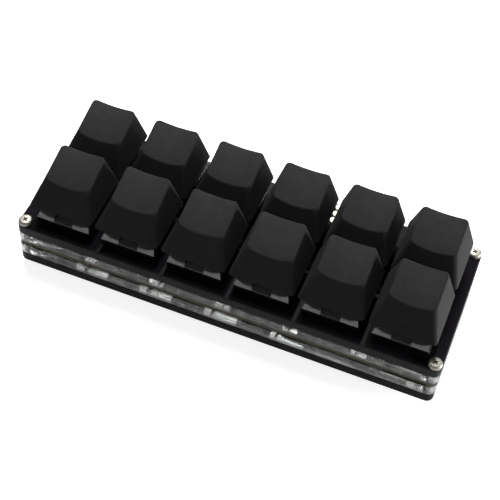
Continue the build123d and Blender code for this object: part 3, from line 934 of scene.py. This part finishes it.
class KEYPAD_OT_board(bpy.types.Operator):
    """Finish the circuit board, its components and the data socket"""

    bl_idname = "keypad.board"
    bl_label = "Circuit board"

    def execute(self, context):
        paint("circuit_board", circuit_laminate())
        tones = finish()
        # Moulded epoxy: matt, with a faint grain
        epoxy = moulded_plastic("epoxy_black_moulded", tones.epoxy, (0.45, 0.6), grain_mm=0.4)
        for node in ("matrix_diodes", "microcontroller", "chip_resistors"):
            paint(node, epoxy)
        # Fired ceramic: an even, slightly waxy tan
        ceramic = moulded_plastic("ceramic_tan", tones.ceramic, (0.4, 0.5), grain_mm=0.4)
        paint("chip_capacitors", ceramic)
        # Pressed steel can: a soft, cool mirror
        can = plated_metal("steel_pressed_can", tones.crystal_can, (0.25, 0.35), grain_mm=0.6)
        paint("crystal", can)
        # Tinned sheet: a brighter mirror, with slow changes of gloss
        sheet = plated_metal("steel_tinned_sheet", tones.socket_sheet, (0.22, 0.34), grain_mm=0.8)
        paint("usb_socket_shell", sheet)
        # Moulded nylon: dark and low in gloss
        nylon = moulded_plastic("nylon_black_insulator", tones.insulator, (0.45, 0.6))
        paint("usb_socket_tongue", nylon)
        paint("indicator_guides", lit_guide())
        # Cast resin: pale and slightly glossy
        resin = moulded_plastic("resin_pale_cast", tones.lamp_resin, (0.35, 0.45), grain_mm=0.4)
        paint("indicator_lamps", resin)
        self.add_solder()
        self.add_metal_ends()
        self.add_strips()
        return {"FINISHED"}

    def add_solder(self):
        """A solder fillet under the board round each contact tail."""
        s = sizes()
        board_low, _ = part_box("circuit_board")
        wide = s.solder_diameter / 2
        top = board_low.z
        # A cone with hollow flanks, as molten solder draws up a tail
        fillet = spun(
            [
                (0, top),
                (wide, top),
                (0.55 * wide, top - 0.35 * s.solder_height),
                (0.36 * wide, top - s.solder_height),
                (0, top - 1.05 * s.solder_height),
            ],
            segments=16,
        )
        reach = 7 * MM  # further from a switch's middle than its contact tails
        places = []
        for node in ("switch_fixed_contacts", "switch_moving_contacts"):
            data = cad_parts[node].data
            lowest = min(v.co.z for v in data.vertices)
            tail = [v.co for v in data.vertices if v.co.z < lowest + MM]
            for key in KEYS:
                place = key_place(key)
                near = [c for c in tail if (c.xy - place.xy).length < reach]
                x = sum(c.x for c in near) / len(near)
                y = sum(c.y for c in near) / len(near)
                places.append(Matrix.Translation((x, y, 0)))
        # Set solder: bright, with a slight frost
        material = plated_metal("solder_tin", finish().solder, (0.2, 0.35), grain_mm=0.7)
        finish_piece("solder_joints", copies(fillet, places), material, "base")

    def add_metal_ends(self):
        """Tinned ends of the chips, leads of the diodes and pads of the controller."""
        s = sizes()
        skin = 2 * s.plating
        bm = bmesh.new()
        for node in ("chip_capacitors", "chip_resistors"):
            low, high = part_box(node)
            height = high.z - low.z
            for x in (low.x + s.chip_width / 2, high.x - s.chip_width / 2):
                for y in (low.y + s.chip_end / 2, high.y - s.chip_end / 2):
                    size = (s.chip_width + skin, s.chip_end + skin, height + s.plating)
                    add_box(bm, size, (x, y, high.z - size[2] / 2))
        low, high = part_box("matrix_diodes")
        first, last = key_place(KEYS[0]), key_place(KEYS[-1])
        reach = first.x - low.x - s.lead_length / 2
        middle = (low.y - first.y + high.y - last.y) / 2
        size = (s.lead_length + skin, s.lead_width + skin, s.lead_thickness + s.plating)
        for key in KEYS:
            place = key_place(key)
            for side in (-1, 1):
                add_box(bm, size, (place.x + side * reach, place.y + middle, high.z - size[2] / 2))
        low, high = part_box("microcontroller")
        centre = (low + high) / 2
        size = (s.pad_width, 2 * s.pad_width, s.pad_width)
        for quarter in range(4):
            turn = Matrix.Rotation(quarter * math.pi / 2, 3, "Z")
            for i in range(PADS):
                along = (i - (PADS - 1) / 2) * s.pad_pitch
                edge = (high.y - low.y) / 2 + s.plating - s.pad_width
                place = centre + turn @ Vector((along, edge, 0))
                place.z = high.z - s.pad_width / 2
                add_box(bm, size if quarter % 2 == 0 else (size[1], size[0], size[2]), place)
        # Matt tin plate: pale, with a blurred gloss
        material = plated_metal("tin_matte_plate", finish().tin, (0.3, 0.42), grain_mm=0.5)
        finish_piece("tinned_ends", bm, material, "base")

    def add_strips(self):
        """Gold contact strips on both faces of the socket's tongue."""
        s = sizes()
        low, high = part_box("usb_socket_tongue")
        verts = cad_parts["usb_socket_tongue"].data.vertices
        blade = [v.co.z for v in verts if v.co.y > high.y - MM]
        bm = bmesh.new()
        for z in (min(blade), max(blade)):
            for i in range(PADS):
                x = (low.x + high.x) / 2 + (i - (PADS - 1) / 2) * s.pad_pitch
                y = high.y - s.pad_pitch - s.strip_length / 2
                add_box(bm, (s.pad_width, s.strip_length, 2 * s.plating), (x, y, z))
        # Hard gold plate: a warm, fairly sharp gloss
        material = plated_metal("gold_hard_plate", finish().gold, (0.2, 0.3), grain_mm=0.6)
        finish_piece("socket_strips", bm, material, "base")


# Studio


class KEYPAD_OT_stage(bpy.types.Operator):
    """Set up the floor, the soft light and the camera"""

    bl_idname = "keypad.stage"
    bl_label = "Studio"

    def execute(self, context):
        self.add_floor()
        self.add_world()
        self.add_lights()
        self.add_camera()
        scene = context.scene
        scene.view_settings.view_transform = "Standard"
        # Light runs along inside the clear sheets, turned back many times by their faces.
        scene.cycles.max_bounces = 24
        scene.cycles.glossy_bounces = 20
        scene.cycles.transmission_bounces = 24
        return {"FINISHED"}

    def add_floor(self):
        """A wide pale floor that keeps the object's shadow."""
        bm = bmesh.new()
        half_width = 3  # metres
        bmesh.ops.create_grid(bm, x_segments=1, y_segments=1, size=half_width)
        mesh = as_mesh("floor", bm)
        floor = bpy.data.objects.new("floor", mesh)
        bpy.context.scene.collection.objects.link(floor)
        # White paper, lifted to white for the camera and for what mirrors or shows it.
        material = bpy.data.materials.new("paper_white")
        tree = empty_tree(material)
        rays = add_node(tree, "ShaderNodeLightPath", {}).outputs
        levels = {"Is Camera Ray": 0.85, "Is Glossy Ray": 0.2, "Is Transmission Ray": 0.25}
        lift = 0.0
        for ray, level in levels.items():
            share = {"operation": "MULTIPLY_ADD", 0: rays[ray], 1: level, 2: lift}
            lift = add_node(tree, "ShaderNodeMath", share).outputs[0]
        paper = add_node(tree, "ShaderNodeBsdfDiffuse", {"Color": rgba(finish().floor)}).outputs[0]
        white = {"Color": (1, 1, 1, 1), "Strength": lift}
        glow = add_node(tree, "ShaderNodeEmission", white).outputs[0]
        both = add_node(tree, "ShaderNodeAddShader", {0: paper, 1: glow}).outputs[0]
        add_node(tree, "ShaderNodeOutputMaterial", {"Surface": both})
        mesh.materials.append(material)

    def add_world(self):
        """White for the camera, and a room that is dim overhead, as black gloss mirrors it."""
        world = bpy.data.worlds.new("studio")
        bpy.context.scene.world = world
        tree = empty_tree(world)
        direction = add_node(tree, "ShaderNodeTexCoord", {}).outputs["Generated"]
        height = add_node(tree, "ShaderNodeSeparateXYZ", {"Vector": direction}).outputs["Z"]
        # Half of white at the horizon, and a tenth from a fifth of the way up
        limits = {"From Min": 0.0, "From Max": 0.2, "To Min": 0.5, "To Max": 0.1}
        room = add_node(tree, "ShaderNodeMapRange", {"Value": height, **limits}).outputs[0]
        camera = add_node(tree, "ShaderNodeLightPath", {}).outputs["Is Camera Ray"]
        brighter = {"operation": "MAXIMUM", 0: camera, 1: room}
        level = add_node(tree, "ShaderNodeMath", brighter).outputs[0]
        light = add_node(tree, "ShaderNodeBackground", {"Color": (1, 1, 1, 1), "Strength": level})
        add_node(tree, "ShaderNodeOutputWorld", {"Surface": light.outputs[0]})

    def add_lights(self):
        """Soft lights: overhead, behind, low on the right, and one that the plate mirrors."""
        # Places and widths in metres, powers in watts
        for name, place, width, power in (
            ("top_softbox", (-0.15, 0.26, 0.76), 0.26, 3.9),
            ("rim_softbox", (-0.15, 0.75, 0.62), 0.26, 7.9),
            ("side_softbox", (0.6, 0.1, 0.07), 0.12, 4.6),
            ("back_softbox", (-0.16, 0.49, 0.73), 0.4, 0.3),
        ):
            light = bpy.data.lights.new(name, "AREA")
            light.size = width
            light.energy = power
            lamp = bpy.data.objects.new(name, light)
            lamp.location = place
            lamp.rotation_euler = (-Vector(place)).to_track_quat("-Z", "Y").to_euler()
            bpy.context.scene.collection.objects.link(lamp)

    def add_camera(self):
        """The photograph's view: from above and a little to the right, slightly turned."""
        camera = bpy.data.cameras.new("camera")
        camera.sensor_width = 36
        camera.lens = 86.99
        camera.clip_start = 0.01
        holder = bpy.data.objects.new("camera", camera)
        # Fitted to the sheet corners, the screws and the key tops
        place = (0.0629, -0.1989, 0.2678)
        heading = math.radians(17.52)
        elevation = math.radians(50.92)
        roll = math.radians(5.05)
        turn = (
            Matrix.Rotation(heading, 4, "Z")
            @ Matrix.Rotation(math.pi / 2 - elevation, 4, "X")
            @ Matrix.Rotation(roll, 4, "Z")
        )
        holder.matrix_world = Matrix.Translation(place) @ turn
        bpy.context.scene.collection.objects.link(holder)
        bpy.context.scene.camera = holder


OPERATORS = (
    KEYPAD_OT_keycaps,
    KEYPAD_OT_case,
    KEYPAD_OT_screws,
    KEYPAD_OT_feet,
    KEYPAD_OT_switches,
    KEYPAD_OT_springs,
    KEYPAD_OT_board,
    KEYPAD_OT_stage,
)


class KEYPAD_PT_sidebar(bpy.types.Panel):
    """Lists the keypad's pieces"""

    bl_idname = "KEYPAD_PT_sidebar"
    bl_label = "Macro Keypad"
    bl_space_type = "VIEW_3D"
    bl_region_type = "UI"
    bl_category = "Keypad"

    def draw(self, context):
        for operator in OPERATORS:
            self.layout.operator(operator.bl_idname)
        for group in (sizes(), finish()):
            for name in group.__annotations__:
                self.layout.prop(group, name)


CLASSES = (KeypadSizes, KeypadFinish, *OPERATORS, KEYPAD_PT_sidebar)


def register():
    for cls in CLASSES:
        bpy.utils.register_class(cls)
    bpy.types.Scene.keypad_sizes = PointerProperty(type=KeypadSizes)
    bpy.types.Scene.keypad_finish = PointerProperty(type=KeypadFinish)


def unregister():
    del bpy.types.Scene.keypad_finish
    del bpy.types.Scene.keypad_sizes
    for cls in reversed(CLASSES):
        bpy.utils.unregister_class(cls)


def main():
    """Builds the keypad and its studio."""
    register()
    bpy.ops.keypad.keycaps()
    bpy.ops.keypad.case()
    bpy.ops.keypad.screws()
    bpy.ops.keypad.feet()
    bpy.ops.keypad.switches()
    bpy.ops.keypad.springs()
    bpy.ops.keypad.board()
    bpy.ops.keypad.stage()


if __name__ == "__main__":
    main()
